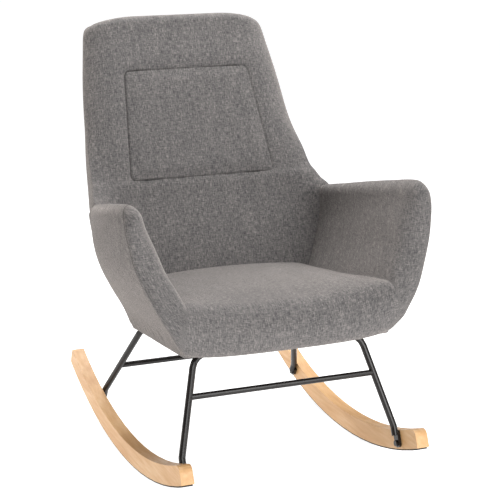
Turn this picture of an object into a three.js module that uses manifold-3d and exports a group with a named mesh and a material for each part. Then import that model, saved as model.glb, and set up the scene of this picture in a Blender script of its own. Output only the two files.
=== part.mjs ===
// Upholstered rocking chair: a padded tub on two bent steel leg frames, carried by two wooden rockers.
// Millimetres, +Z up. +X is the right-hand side seen from the front, and the chair faces -Y.
import * as THREE from 'three';
import { mergeVertices } from 'three/addons/utils/BufferGeometryUtils.js';
import Module from 'manifold-3d';

const wasm = await Module();
wasm.setup();

// ---------------------------------------------------------------- driving dimensions
const CLEARANCE = 0.3;                 // between pieces that touch

// Rockers: concentric arcs about one centre, which is as far above the floor as the sole's radius
const SOLE_RADIUS = 1058.2;
const SOLE_THICKNESS = 3;
const ROCKER_DEPTH = 44.7;
const ROCKER_WIDTH = 30;
const ROCKER_INNER_X = 270;
const ROCKER_CENTRE_Y = 72;
const ROCKER_FRONT_ANGLE = -23.5;      // degrees along the arc from the point that rests on the floor
const ROCKER_REAR_ANGLE = 25;
const ROCKER_FACET = 2.9;              // degrees; the middle facet is the flat the chair rests on
const SOLE_INSET = 9;                  // from the rocker's ends
const SOLE_MARGIN = 1.5;               // from the rocker's sides

// Steel leg frames
const TUBE_DIAMETER = 16;
const TUBE_WALL = 1.5;
const STRETCHER_DIAMETER = 14;
const FOOT_X = ROCKER_INNER_X - TUBE_DIAMETER / 2 - CLEARANCE;
const FOOT_THICKNESS = 7;
const FOOT_WIDTH = 21;
const KINK_RADIUS = 26;
const SHOULDER_RADIUS = 38;
const FRONT_LEG = { kink: [-245, 110], top: [204, -171.7, 320.2], foot: [-0.394, -0.919], bolt: 40 };
const REAR_LEG = { kink: [333, 80.4], top: [200.4, 196.8, 280.8], foot: [0.498, -0.867], bolt: 27 };
const FRONT_STRETCHER_HEIGHT = 233;
const REAR_STRETCHER_HEIGHT = 158;

// Seat frame: its underside falls towards the back
const SEAT_TILT = Math.atan(0.107);
const SEAT_FRONT = new THREE.Vector3(0, -224, 335.5);   // lower front edge of the frame
const SEAT_LENGTH = 450;
const RAIL_THICKNESS = 25;
const RAIL_HEIGHT = 45;
const SIDE_RAIL_X = 221;               // outer faces
const BATTEN_WIDTH = 42;
const BATTEN_HEIGHT = 28;
const DUST_COVER_THICKNESS = 1;
const SPRING_COUNT = 4;
const SPRING_SPACING = 88;
const SPRING_WIRE = 3.8;

// Back: a plane through BACK_FOOT, leaning back; s runs up along it and n runs through its thickness
const RECLINE = Math.atan(0.485);
const BACK_FOOT = new THREE.Vector3(0, 199, 400);
const BACK_TOP_S = 674;
const BACK_THICKNESS = 84;
const FRAME_FRONT_N = 46;              // the wooden back frame's layer
const FRAME_REAR_N = 66;
const POST_X = 195;                    // outer faces of the posts
const POST_WIDTH = 21;
const PAD_THICKNESS = 24;              // foam in front of the webbing
const PAD_RIM = 24;                    // foam round the back's edge
const COVER_THICKNESS = 5;

// Plywood panel inside each arm
const PANEL_THICKNESS = 12;
const PANEL_LEAN = THREE.MathUtils.degToRad(19);

// Fasteners
const BOLT_DIAMETER = 8;
const BOLT_HEAD_DIAMETER = 14;
const BOLT_HEAD_HEIGHT = 4.5;
const INSERT_DIAMETER = 12;
const INSERT_LENGTH = 20;
const FRAME_BOLT_X = 120;

// ---------------------------------------------------------------- materials
function finish(colour, roughness, metalness = 0) {
  return () => new THREE.MeshStandardMaterial({ color: colour, roughness, metalness });
}
const upholstery = finish(0x7d7976, 0.95);
const beech = finish(0xd9ad7c, 0.5);
const frameWood = finish(0xc9a877, 0.7);
const blackSteel = finish(0x1b1a1a, 0.4, 0.3);
const zincSteel = finish(0xa9abad, 0.35, 0.9);
const blackRubber = finish(0x171717, 0.8);
const blackPlastic = finish(0x202020, 0.6);
const blackCloth = finish(0x1d1d1d, 0.95);

// ---------------------------------------------------------------- solids
function withSharedVertices(geometry) {
  const bare = geometry.clone();
  bare.deleteAttribute('normal');
  bare.deleteAttribute('uv');
  return mergeVertices(bare, 1e-4);
}

function toSolid(geometry) {
  const merged = withSharedVertices(geometry);
  return new wasm.Manifold(new wasm.Mesh({
    numProp: 3,
    vertProperties: new Float32Array(merged.attributes.position.array),
    triVerts: new Uint32Array(merged.index.array),
  }));
}

function toGeometry(solid) {
  const mesh = solid.getMesh();
  const geometry = new THREE.BufferGeometry();
  geometry.setAttribute('position', new THREE.BufferAttribute(new Float32Array(mesh.vertProperties), 3));
  geometry.setIndex(new THREE.BufferAttribute(new Uint32Array(mesh.triVerts), 1));
  geometry.computeVertexNormals();
  return geometry;
}

function cut(geometry, ...tools) {
  return toGeometry(tools.reduce((solid, tool) => solid.subtract(toSolid(tool)), toSolid(geometry)));
}

function join(geometry, ...others) {
  return toGeometry(others.reduce((solid, other) => solid.add(toSolid(other)), toSolid(geometry)));
}

// A box from its lowest corner to its highest corner
function block(low, high) {
  const size = high.map((value, axis) => value - low[axis]);
  const centre = high.map((value, axis) => (value + low[axis]) / 2);
  return new THREE.BoxGeometry(...size).translate(...centre);
}

// A round bar between two points
function rod(from, to, diameter, sides = 16) {
  const axis = new THREE.Vector3().subVectors(to, from);
  const upright = new THREE.Vector3(0, 1, 0);
  const turn = new THREE.Quaternion().setFromUnitVectors(upright, axis.clone().normalize());
  const middle = new THREE.Vector3().addVectors(from, to).multiplyScalar(0.5);
  const geometry = new THREE.CylinderGeometry(diameter / 2, diameter / 2, axis.length(), sides);
  return geometry.applyQuaternion(turn).translate(middle.x, middle.y, middle.z);
}

// A closed skin over a row of loops. Each loop has the same number of points and starts on its line of
// symmetry, so that its point i faces its point count - i; the end caps run across between them.
function loft(loops) {
  const count = loops[0].length;
  const index = [];
  for (let row = 0; row < loops.length - 1; row += 1) {
    for (let i = 0; i < count; i += 1) {
      const a = row * count + i;
      const b = row * count + (i + 1) % count;
      index.push(a, b, a + count, b, b + count, a + count);
    }
  }
  const last = (loops.length - 1) * count;
  for (let i = 0; 2 * i + 1 < count; i += 1) {
    const [a, b] = [i, i + 1];
    const [c, d] = [(count - i - 1) % count, (count - i) % count];
    if (b !== c) index.push(a, c, b, last + a, last + b, last + c);
    if (a !== d) index.push(a, d, c, last + a, last + c, last + d);
  }
  const geometry = new THREE.BufferGeometry();
  const positions = loops.flat().flatMap((point) => [point.x, point.y, point.z]);
  geometry.setAttribute('position', new THREE.Float32BufferAttribute(positions, 3));
  geometry.setIndex(index);
  const inwards = toSolid(geometry).volume() < 0;
  return toGeometry(toSolid(inwards ? turnedInsideOut(geometry) : geometry));
}

function turnedInsideOut(original) {
  const geometry = withSharedVertices(original);
  const index = Array.from(geometry.index.array);
  for (let i = 0; i < index.length; i += 3) {
    [index[i], index[i + 1]] = [index[i + 1], index[i]];
  }
  geometry.setIndex(index);
  geometry.computeVertexNormals();
  return geometry;
}

function mirrored(geometry) {
  return turnedInsideOut(geometry.clone().scale(-1, 1, 1));
}

// A smooth value through a few [position, value] pairs
function profile(pairs) {
  const curve = new THREE.SplineCurve(pairs.map(([at, value]) => new THREE.Vector2(at, value)));
  const samples = curve.getPoints(pairs.length * 16);
  return (at) => {
    const after = samples.findIndex((sample) => sample.x >= at);
    if (after === 0) return samples[0].y;
    if (after < 0) return samples[samples.length - 1].y;
    const [low, high] = [samples[after - 1], samples[after]];
    return THREE.MathUtils.mapLinear(at, low.x, high.x, low.y, high.y);
  };
}

// A path of straight stretches with round bends; its stations lie at the bends' steps, not evenly
class BentPath extends THREE.Curve {
  constructor(corners, radii, steps) {
    super();
    this.stations = [corners[0]];
    for (let i = 1; i < corners.length - 1; i += 1) {
      const towards = new THREE.Vector3().subVectors(corners[i - 1], corners[i]).normalize();
      const away = new THREE.Vector3().subVectors(corners[i + 1], corners[i]).normalize();
      const half = towards.angleTo(away) / 2;
      const reach = radii[i - 1] / Math.tan(half);
      const bisector = towards.clone().add(away).normalize();
      const centre = corners[i].clone().addScaledVector(bisector, radii[i - 1] / Math.sin(half));
      const start = corners[i].clone().addScaledVector(towards, reach).sub(centre);
      const end = corners[i].clone().addScaledVector(away, reach).sub(centre);
      const axis = new THREE.Vector3().crossVectors(start, end).normalize();
      const sweep = start.angleTo(end);
      for (let k = 0; k <= steps; k += 1) {
        this.stations.push(start.clone().applyAxisAngle(axis, (sweep * k) / steps).add(centre));
      }
    }
    this.stations.push(corners[corners.length - 1]);
  }

  get steps() {
    return this.stations.length - 1;
  }

  getUtoTmapping(u) {
    return u;
  }

  getPoint(t) {
    const place = Math.min(t * this.steps, this.steps);
    const i = Math.min(Math.floor(place), this.steps - 1);
    return this.stations[i].clone().lerp(this.stations[i + 1], place - i);
  }
}

function sweep(path, shape, curveSegments) {
  return new THREE.ExtrudeGeometry(shape, {
    extrudePath: path, steps: path.steps, bevelEnabled: false, curveSegments,
  });
}

function circle(diameter, sides) {
  const points = [];
  for (let i = 0; i < sides; i += 1) {
    const angle = (2 * Math.PI * i) / sides;
    points.push(new THREE.Vector2((diameter / 2) * Math.cos(angle), (diameter / 2) * Math.sin(angle)));
  }
  return points;
}

const chair = new THREE.Group();

function add(name, geometry, material) {
  const mesh = new THREE.Mesh(geometry, material());
  mesh.name = name;
  chair.add(mesh);
  return mesh;
}

function addPair(name, rightGeometry, material) {
  add(`${name}_left`, mirrored(rightGeometry), material);
  add(`${name}_right`, rightGeometry, material);
}

// ---------------------------------------------------------------- rockers and their soles
// A point on the rocker: its radius from the rocking centre, its angle in degrees, and a step along the arc
function onRocker(radius, degrees, step = 0) {
  const angle = THREE.MathUtils.degToRad(degrees) + step / radius;
  return new THREE.Vector2(
    ROCKER_CENTRE_Y + radius * Math.sin(angle),
    SOLE_RADIUS - radius * Math.cos(angle),
  );
}

function facetAngles(low, high) {
  const angles = [];
  for (let k = -12; k < 12; k += 1) {
    const angle = (k + 0.5) * ROCKER_FACET;
    if (angle > low + 0.4 && angle < high - 0.4) angles.push(angle);
  }
  return angles;
}

// A rounded corner of a rocker end: arc from one side of the corner to the other
function roundedCorner(radius, degrees, size, inwards, along, alongFirst) {
  const points = [];
  const steps = 4;
  for (let k = 0; k <= steps; k += 1) {
    const turn = ((alongFirst ? steps - k : k) / steps) * (Math.PI / 2);
    const radial = size * (1 - Math.cos(turn));
    const tangential = size * (1 - Math.sin(turn));
    points.push(onRocker(radius + inwards * radial, degrees, along * tangential));
  }
  return points;
}

// Turns a shape drawn in the (y, z) plane into a slab between two x positions
function slabAlongX(points, fromX, toX) {
  const shape = new THREE.Shape(points);
  const geometry = new THREE.ExtrudeGeometry(shape, { depth: toX - fromX, bevelEnabled: false });
  const upright = new THREE.Matrix4().set(0, 0, 1, fromX, 1, 0, 0, 0, 0, 1, 0, 0, 0, 0, 0, 1);
  return geometry.applyMatrix4(upright);
}

function footBolt(leg) {
  return new THREE.Vector2(leg.kink[0] + leg.foot[0] * leg.bolt, leg.kink[1] + leg.foot[1] * leg.bolt);
}

function alongX(place, fromX, toX, diameter) {
  const from = new THREE.Vector3(fromX, place.x, place.y);
  const to = new THREE.Vector3(toX, place.x, place.y);
  return rod(from, to, diameter);
}

function makeRockers() {
  const outer = SOLE_RADIUS - SOLE_THICKNESS - CLEARANCE;
  const inner = outer - ROCKER_DEPTH;
  const angles = facetAngles(ROCKER_FRONT_ANGLE, ROCKER_REAR_ANGLE);
  const outline = [
    ...roundedCorner(outer, ROCKER_FRONT_ANGLE, 3, -1, 1, false).reverse(),
    ...angles.map((angle) => onRocker(outer, angle)),
    ...roundedCorner(outer, ROCKER_REAR_ANGLE, 5, -1, -1, false),
    ...roundedCorner(inner, ROCKER_REAR_ANGLE, 7, 1, -1, false).reverse(),
    ...angles.map((angle) => onRocker(inner, angle)).reverse(),
    ...roundedCorner(inner, ROCKER_FRONT_ANGLE, 17, 1, 1, false),
  ];
  let rocker = slabAlongX(outline, ROCKER_INNER_X, ROCKER_INNER_X + ROCKER_WIDTH);
  for (const leg of [FRONT_LEG, REAR_LEG]) {
    const depth = INSERT_LENGTH + 3;
    const hole = alongX(footBolt(leg), ROCKER_INNER_X - 5, ROCKER_INNER_X + depth, INSERT_DIAMETER + 0.6);
    rocker = cut(rocker, hole);
  }
  addPair('rocker', rocker, beech);

  const top = SOLE_RADIUS - SOLE_THICKNESS;
  const inset = THREE.MathUtils.radToDeg(SOLE_INSET / SOLE_RADIUS);
  const soleAngles = [ROCKER_FRONT_ANGLE + inset, ...angles, ROCKER_REAR_ANGLE - inset];
  const sole = [
    ...soleAngles.map((angle) => onRocker(SOLE_RADIUS, angle)),
    ...soleAngles.map((angle) => onRocker(top, angle)).reverse(),
  ];
  const soleInnerX = ROCKER_INNER_X + SOLE_MARGIN;
  const soleOuterX = ROCKER_INNER_X + ROCKER_WIDTH - SOLE_MARGIN;
  const soleSlab = slabAlongX(sole, soleInnerX, soleOuterX);
  addPair('rocker_sole', soleSlab, blackRubber);
}

// ---------------------------------------------------------------- leg frames
function legCorners(leg, footLength) {
  const [y, z] = leg.kink;
  return [
    new THREE.Vector3(FOOT_X, y + leg.foot[0] * footLength, z + leg.foot[1] * footLength),
    new THREE.Vector3(FOOT_X, y, z),
    new THREE.Vector3(...leg.top),
  ];
}

// The bent tube's path from one foot, over the bar under the seat, to the other foot
function legPath(leg, footLength) {
  const right = legCorners(leg, footLength);
  const left = right.map((point) => new THREE.Vector3(-point.x, point.y, point.z)).reverse();
  const radii = [KINK_RADIUS, SHOULDER_RADIUS, SHOULDER_RADIUS, KINK_RADIUS];
  return new BentPath([...right, ...left], radii, 4);
}

// The flattened end of the tube, which lies against the rocker
function footPlate(leg) {
  const half = FOOT_WIDTH / 2;
  const shape = new THREE.Shape();
  shape.moveTo(-half, 12);
  shape.lineTo(-half, leg.bolt);
  shape.absarc(0, leg.bolt, half, Math.PI, 0, true);
  shape.lineTo(half, 12);
  shape.closePath();
  const flat = { depth: FOOT_THICKNESS, bevelEnabled: false, curveSegments: 8 };
  const plate = new THREE.ExtrudeGeometry(shape, flat);
  const [alongY, alongZ] = leg.foot;
  const innerX = ROCKER_INNER_X - CLEARANCE - FOOT_THICKNESS;
  const place = new THREE.Matrix4().set(
    0, 0, 1, innerX,
    -alongZ, alongY, 0, leg.kink[0],
    alongY, alongZ, 0, leg.kink[1],
    0, 0, 0, 1,
  );
  return turnedInsideOut(plate.applyMatrix4(place));
}

function makeLegFrame(name, leg) {
  const ring = new THREE.Shape(circle(TUBE_DIAMETER, 16));
  ring.holes.push(new THREE.Path(circle(TUBE_DIAMETER - 2 * TUBE_WALL, 8)));
  const tube = sweep(legPath(leg, 22), ring, 1);
  const plate = footPlate(leg);
  let frame = join(tube, plate, mirrored(plate));
  const hole = alongX(footBolt(leg), -ROCKER_INNER_X - 5, ROCKER_INNER_X + 5, BOLT_DIAMETER + 0.6);
  frame = cut(frame, hole, ...[-1, 1].map((side) => boltHole(leg, side * FRAME_BOLT_X)));
  add(name, frame, blackSteel);
}

function boltHole(leg, x) {
  const [, y, z] = leg.top;
  return alongSeatNormal(x, y, z, -20, 60, BOLT_DIAMETER + 0.6);
}

// A round bar square to the seat frame's underside, through a point
function alongSeatNormal(x, y, z, from, to, diameter) {
  const normal = new THREE.Vector3(0, Math.sin(SEAT_TILT), Math.cos(SEAT_TILT));
  const centre = new THREE.Vector3(x, y, z);
  const low = centre.clone().addScaledVector(normal, from);
  const high = centre.clone().addScaledVector(normal, to);
  return rod(low, high, diameter);
}

// A stretcher between the legs, its ends hollowed to fit round them
function makeStretcher(name, leg, height) {
  const [, kink, top] = legCorners(leg, 0);
  const middle = kink.clone().lerp(top, (height - kink.z) / (top.z - kink.z));
  const bar = rod(new THREE.Vector3(-middle.x, middle.y, middle.z), middle, STRETCHER_DIAMETER, 14);
  const legRod = rod(kink, top, TUBE_DIAMETER + 2 * CLEARANCE, 24);
  add(name, cut(bar, legRod, mirrored(legRod)), blackSteel);
}

// ---------------------------------------------------------------- bolts and threaded inserts
function boltBetween(underHead, tip) {
  const direction = new THREE.Vector3().subVectors(tip, underHead).normalize();
  const headTop = underHead.clone().addScaledVector(direction, -BOLT_HEAD_HEIGHT);
  const shank = rod(underHead.clone().addScaledVector(direction, -1), tip, BOLT_DIAMETER, 12);
  return join(rod(headTop, underHead, BOLT_HEAD_DIAMETER, 16), shank);
}

function sleeveBetween(from, to) {
  const direction = new THREE.Vector3().subVectors(to, from).normalize();
  const bore = rod(
    from.clone().addScaledVector(direction, -2),
    to.clone().addScaledVector(direction, 2),
    BOLT_DIAMETER + 0.6,
    12,
  );
  return cut(rod(from, to, INSERT_DIAMETER, 16), bore);
}

function makeRockerFasteners(name, leg) {
  const place = footBolt(leg);
  const at = (x) => new THREE.Vector3(x, place.x, place.y);
  const underHead = ROCKER_INNER_X - CLEARANCE - FOOT_THICKNESS - CLEARANCE;
  const bolt = boltBetween(at(underHead), at(ROCKER_INNER_X + INSERT_LENGTH));
  addPair(`${name}_rocker_bolt`, bolt, blackSteel);
  const insert = sleeveBetween(at(ROCKER_INNER_X + 1), at(ROCKER_INNER_X + 1 + INSERT_LENGTH));
  addPair(`${name}_rocker_insert`, insert, zincSteel);
}

function makeFrameFasteners(name, leg) {
  const normal = new THREE.Vector3(0, Math.sin(SEAT_TILT), Math.cos(SEAT_TILT));
  const centre = new THREE.Vector3(FRAME_BOLT_X, leg.top[1], leg.top[2]);
  const at = (distance) => centre.clone().addScaledVector(normal, distance);
  addPair(`${name}_frame_bolt`, boltBetween(at(-TUBE_DIAMETER / 2 - CLEARANCE), at(27)), blackSteel);
  addPair(`${name}_frame_insert`, sleeveBetween(at(13), at(13 + INSERT_LENGTH * 0.7)), zincSteel);
}

function insertPocket(leg, x) {
  return alongSeatNormal(x, leg.top[1], leg.top[2], 12, 70, INSERT_DIAMETER + 0.6);
}

// ---------------------------------------------------------------- seat frame
// Drawn level, with y from the lower front edge and z from the underside, then tilted into place
function tilted(geometry) {
  return geometry.rotateX(-SEAT_TILT).translate(0, SEAT_FRONT.y, SEAT_FRONT.z);
}

function seatBlock(low, high) {
  return tilted(block(low, high));
}

// Distance along the seat frame of a leg frame's bar
function alongSeat(leg) {
  return (leg.top[1] - SEAT_FRONT.y) / Math.cos(SEAT_TILT) - 3.5;
}

function withFrameBoltHoles(geometry, leg) {
  return [-FRAME_BOLT_X, FRAME_BOLT_X].reduce(
    (piece, x) => cut(piece, boltHole(leg, x), insertPocket(leg, x)),
    geometry,
  );
}

function makeSeatFrame() {
  const inside = SIDE_RAIL_X - RAIL_THICKNESS - CLEARANCE;
  addPair('seat_side_rail', seatBlock(
    [SIDE_RAIL_X - RAIL_THICKNESS, 0, 0],
    [SIDE_RAIL_X, SEAT_LENGTH, RAIL_HEIGHT],
  ), frameWood);
  add('seat_front_rail', seatBlock([-inside, 0, 0], [inside, RAIL_THICKNESS, RAIL_HEIGHT]), frameWood);

  const frontBar = alongSeat(FRONT_LEG);
  const batten = seatBlock(
    [-inside, frontBar - BATTEN_WIDTH / 2, 0],
    [inside, frontBar + BATTEN_WIDTH / 2, BATTEN_HEIGHT],
  );
  add('seat_batten', withFrameBoltHoles(batten, FRONT_LEG), frameWood);

  const rearBar = alongSeat(REAR_LEG);
  const betweenPosts = POST_X - POST_WIDTH - CLEARANCE;
  const rearRail = seatBlock(
    [-betweenPosts, rearBar - BATTEN_WIDTH / 2, 0],
    [betweenPosts, rearBar + BATTEN_WIDTH / 2, RAIL_HEIGHT],
  );
  add('seat_rear_rail', withFrameBoltHoles(rearRail, REAR_LEG), frameWood);

  const corner = new THREE.Shape([
    new THREE.Vector2(inside - CLEARANCE, RAIL_THICKNESS + CLEARANCE),
    new THREE.Vector2(inside - CLEARANCE, RAIL_THICKNESS + 50),
    new THREE.Vector2(inside - 50, RAIL_THICKNESS + CLEARANCE),
  ]);
  const braceFoot = BATTEN_HEIGHT + CLEARANCE;
  const brace = new THREE.ExtrudeGeometry(corner, { depth: RAIL_HEIGHT - braceFoot, bevelEnabled: false });
  addPair('seat_corner_block', tilted(brace.translate(0, 0, braceFoot)), frameWood);

  const sheet = seatBlock(
    [-SIDE_RAIL_X + 2, 2, -CLEARANCE - DUST_COVER_THICKNESS],
    [SIDE_RAIL_X - 2, SEAT_LENGTH - 2, -CLEARANCE],
  );
  const sides = [-FRAME_BOLT_X, FRAME_BOLT_X];
  const holes = [FRONT_LEG, REAR_LEG].flatMap((leg) => sides.map((x) => boltHole(leg, x)));
  add('dust_cover', cut(sheet, ...holes), blackCloth);
}

// Zigzag springs over the seat frame, held by a clip at each end
function makeSprings() {
  const first = 12;
  const last = alongSeat(REAR_LEG);
  const turns = 9;
  const wireRadius = SPRING_WIRE / 2;
  for (let k = 0; k < SPRING_COUNT; k += 1) {
    const x = (k - (SPRING_COUNT - 1) / 2) * SPRING_SPACING;
    const corners = [new THREE.Vector3(x - 18, first, RAIL_HEIGHT + wireRadius + CLEARANCE)];
    for (let turn = 0; turn <= turns; turn += 1) {
      const along = turn / turns;
      const y = first + (last - first) * along;
      const z = RAIL_HEIGHT + wireRadius + CLEARANCE + 14 * Math.sin(Math.PI * along);
      const side = turn % 2 === 0 ? 18 : -18;
      corners.push(new THREE.Vector3(x + side, y, z));
      if (turn < turns) {
        const nextZ = RAIL_HEIGHT + wireRadius + CLEARANCE + 14 * Math.sin((Math.PI * (turn + 1)) / turns);
        corners.push(new THREE.Vector3(x + side, y + (last - first) / turns, nextZ));
      }
    }
    const path = new BentPath(corners, corners.slice(1, -1).map(() => 10), 2);
    const wire = sweep(path, new THREE.Shape(circle(SPRING_WIRE, 5)), 1);
    add(`seat_spring_${k + 1}`, tilted(toGeometry(toSolid(wire))), zincSteel);
    for (const [end, y] of [['front', first], ['rear', last]]) {
      add(`spring_clip_${end}_${k + 1}`, seatBlock(
        [x - 5, y - 6, RAIL_HEIGHT + SPRING_WIRE + 2 * CLEARANCE],
        [x + 5, y + 6, RAIL_HEIGHT + SPRING_WIRE + 2.5],
      ), blackPlastic);
    }
  }
}

// ---------------------------------------------------------------- back
// Places a point given across (x), up along (s) and through (n) the back
function onBack(x, s, n) {
  return new THREE.Vector3(
    x,
    BACK_FOOT.y + s * Math.sin(RECLINE) + n * Math.cos(RECLINE),
    BACK_FOOT.z + s * Math.cos(RECLINE) - n * Math.sin(RECLINE),
  );
}

// The y of the back's front plane at a height
function backFrontY(z) {
  return BACK_FOOT.y + (z - BACK_FOOT.z) * Math.tan(RECLINE);
}

function backBlock(low, high) {
  return placedOnBack(block(low, high));
}

// Moves a geometry drawn in (x, s, n) onto the back
function placedOnBack(geometry) {
  const basis = new THREE.Matrix4().makeBasis(
    new THREE.Vector3(1, 0, 0),
    new THREE.Vector3(0, Math.sin(RECLINE), Math.cos(RECLINE)),
    new THREE.Vector3(0, Math.cos(RECLINE), -Math.sin(RECLINE)),
  );
  basis.setPosition(BACK_FOOT);
  return turnedInsideOut(geometry.applyMatrix4(basis));
}

// Half the back's width against s
const backHalfWidth = profile([
  [-150, 200], [-130, 210], [-98, 228], [-36, 255], [22, 276], [66, 286], [117, 294], [180, 296],
  [243, 294], [320, 287], [400, 276], [460, 269], [520, 262], [601, 250], [640, 243], [660, 236],
  [676, 222],
]);

// One loop round the back: flat in the middle of its front, round at the sides, flat behind
function backLoop(s, squeeze) {
  const half = backHalfWidth(s) - squeeze;
  const front = squeeze;
  const rear = BACK_THICKNESS - squeeze * 0.7;
  const widest = 50;
  const round = 75;
  const side = [];
  for (let k = 0; k <= 5; k += 1) {
    const turn = (k / 5) * (Math.PI / 2);
    side.push([half - round + round * Math.sin(turn), widest - (widest - front) * Math.cos(turn)]);
  }
  side.push([half - 5, 68], [half - 13, rear - 5], [half - 26, rear]);
  const right = side.map(([x, n]) => onBack(x, s, n));
  const left = side.map(([x, n]) => onBack(-x, s, n)).reverse();
  return [onBack(0, s, front), ...right, onBack(0, s, rear), ...left];
}

// A straight-sided solid through the back, from an outline of [x, s] points
function backPrism(outline, fromN, toN) {
  const shape = new THREE.Shape(outline.map(([x, s]) => new THREE.Vector2(x, s)));
  const geometry = new THREE.ExtrudeGeometry(shape, { depth: toN - fromN, bevelEnabled: false });
  return placedOnBack(geometry.translate(0, 0, fromN));
}

function makeBack() {
  const rows = [[-150, 0], [-98, 0], [-36, 0], [22, 0], [66, 0], [117, 0], [180, 0], [243, 0], [320, 0],
    [400, 0], [500, 0], [580, 0], [625, 0], [645, 1], [660, 6], [BACK_TOP_S, 15]];
  const form = loft(rows.map(([s, squeeze]) => backLoop(s, squeeze)));
  const seatSpace = tilted(block([-400, -100, -200], [400, 700, RAIL_HEIGHT + 12]));
  const coverFrontN = BACK_THICKNESS - COVER_THICKNESS;
  const behind = backBlock([-400, -400, coverFrontN - CLEARANCE], [400, 800, 300]);
  const rim = (s) => backHalfWidth(s) - PAD_RIM;
  const pocketRight = [-140, -60, 20, 110, 200, 320, 460, 628].map((s) => [rim(s), s]);
  const pocketLeft = pocketRight.map(([x, s]) => [-x, s]).reverse();
  const pocket = backPrism([...pocketRight, ...pocketLeft], PAD_THICKNESS, 300);
  add('back_cushion', cut(form, seatSpace, pocket, behind), upholstery);

  const inFront = backBlock([-400, -400, -100], [400, 800, coverFrontN]);
  const belowHem = tilted(block([-400, -100, -400], [400, 700, -3]));
  const overSeatFrame = seatBlock([-400, -100, -50], [400, SEAT_LENGTH + 1, RAIL_HEIGHT + 1]);
  add('back_cover', cut(form, inFront, belowHem, overSeatFrame), upholstery);

  const postFoot = seatBlock([-400, -100, -400], [400, 700, 2]);
  const post = backBlock([POST_X - POST_WIDTH, -200, FRAME_FRONT_N], [POST_X, 620, FRAME_REAR_N]);
  addPair('back_post', cut(post, postFoot), frameWood);
  const between = POST_X - POST_WIDTH - CLEARANCE;
  add('back_top_rail', backBlock([-between, 570, FRAME_FRONT_N], [between, 620, FRAME_REAR_N]), frameWood);
  add('back_lower_rail', backBlock([-between, 20, FRAME_FRONT_N], [between, 65, FRAME_REAR_N]), frameWood);
  for (let k = 0; k < 4; k += 1) {
    const s = 150 + 110 * k;
    add(`back_webbing_${k + 1}`, backBlock(
      [-between, s, FRAME_FRONT_N + 3],
      [between, s + 50, FRAME_FRONT_N + 5],
    ), blackCloth);
  }
}

// ---------------------------------------------------------------- arms
// Each arm is a curved padded wall. "height" runs from 0 at the hem to 1 at the crest, and "along"
// from 0 at the front edge to 1 at the back's front plane.
const armFrontX = profile([
  [0, 242], [0.1, 264], [0.2, 285], [0.32, 303], [0.46, 325], [0.61, 342], [0.83, 360], [1, 362],
]);
const armFrontY = profile([
  [0, -236], [0.1, -249], [0.25, -253], [0.46, -246], [0.73, -224], [0.9, -212], [1, -190],
]);
const armRearX = profile([
  [0, 226], [0.17, 255], [0.32, 281], [0.46, 296], [0.58, 302], [0.75, 305], [0.86, 301], [1, 292],
]);
const armBulge = profile([[0, 5], [0.1, 8], [0.32, 28], [0.6, 34], [1, 29]]);
const armInnerFrontX = profile([
  [0, 228], [0.2, 236], [0.32, 245], [0.42, 258], [0.55, 279], [0.72, 298], [0.85, 312], [1, 330],
]);
const armInnerRearX = profile([
  [0, 222], [0.3, 236], [0.44, 256], [0.55, 269], [0.62, 276], [0.75, 286], [0.86, 284], [1, 276],
]);
const armCrest = profile([
  [-190, 670], [-145, 668], [-60, 652], [60, 627], [150, 606], [225, 589], [258, 596], [288, 614],
  [318, 648],
]);
const ARM_CREST_START = 0.84;          // the height where a wall begins to round over
const hemHeight = (y) => SEAT_FRONT.z - Math.tan(SEAT_TILT) * (y - SEAT_FRONT.y);

function armPlace(height, along) {
  let y = THREE.MathUtils.lerp(armFrontY(height), 180, along);
  let z = 0;
  for (let pass = 0; pass < 6; pass += 1) {
    z = THREE.MathUtils.lerp(hemHeight(y), armCrest(y), height);
    y = THREE.MathUtils.lerp(armFrontY(height), backFrontY(z) - 2, along);
  }
  return { y, z };
}

function armOuterX(height, along) {
  const straight = THREE.MathUtils.lerp(armFrontX(height), armRearX(height), along);
  return straight + armBulge(height) * 4 * along * (1 - along);
}

function armInnerX(height, along) {
  return THREE.MathUtils.lerp(armInnerFrontX(height), armInnerRearX(height), along);
}

// One loop round the arm's wall, up its inner side and down its outer side
function armLoop(along, pinch) {
  const heights = [0, 0.1, 0.22, 0.34, 0.46, 0.58, 0.7, 0.8, 0.88, 0.94, 0.98];
  const wall = (height) => {
    const inner = armInnerX(height, along);
    const outer = armOuterX(height, along);
    const rise = Math.max(0, (height - ARM_CREST_START) / (1 - ARM_CREST_START));
    const half = ((outer - inner) / 2 - pinch) * Math.sqrt(1 - rise * rise);
    return { middle: (inner + outer) / 2 + pinch * 0.4, half, ...armPlace(height, along) };
  };
  const walls = heights.map((height) => wall(height));
  const inner = walls.map((w) => new THREE.Vector3(w.middle - w.half, w.y, w.z));
  const outer = walls.map((w) => new THREE.Vector3(w.middle + w.half, w.y, w.z));
  const crest = wall(1);
  return [new THREE.Vector3(crest.middle, crest.y, crest.z), ...outer.reverse(), ...inner];
}

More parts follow.
